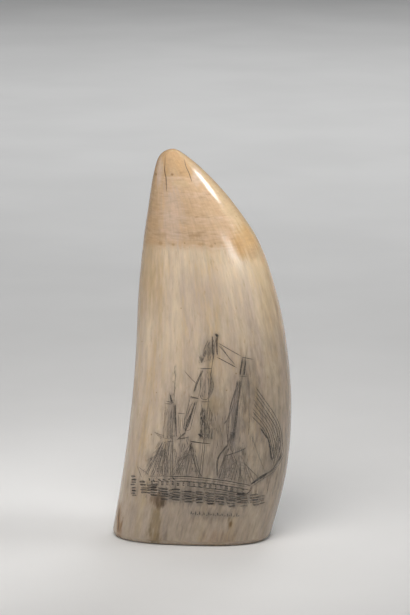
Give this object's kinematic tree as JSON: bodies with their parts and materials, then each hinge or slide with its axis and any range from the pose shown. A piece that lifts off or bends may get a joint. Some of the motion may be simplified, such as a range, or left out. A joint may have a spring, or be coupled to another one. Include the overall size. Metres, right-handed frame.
{
  "type": "scrimshaw whale tooth",
  "caption": "Polished sperm whale tooth standing on its sawn root, a curved cone with a rounded tip and a sailing ship engraved low on one broad side.",
  "frame": {"origin": "on the sawn face that the tooth stands on, under the middle of the tooth's box", "axes": "+Z from the sawn root up to the tip, +X from the hollow inner edge to the bulging outer edge, and -Y out of the engraved broad side"},
  "size_m": [0.0687, 0.0416, 0.15],
  "materials": {
    "tooth_ivory": "polished old whale ivory, yellower at the tip, with soot-dark engraved lines and brown age stains"
  },
  "bodies": {
    "root": {"whale_tooth": "tooth_ivory"}
  },
  "joints": []
}
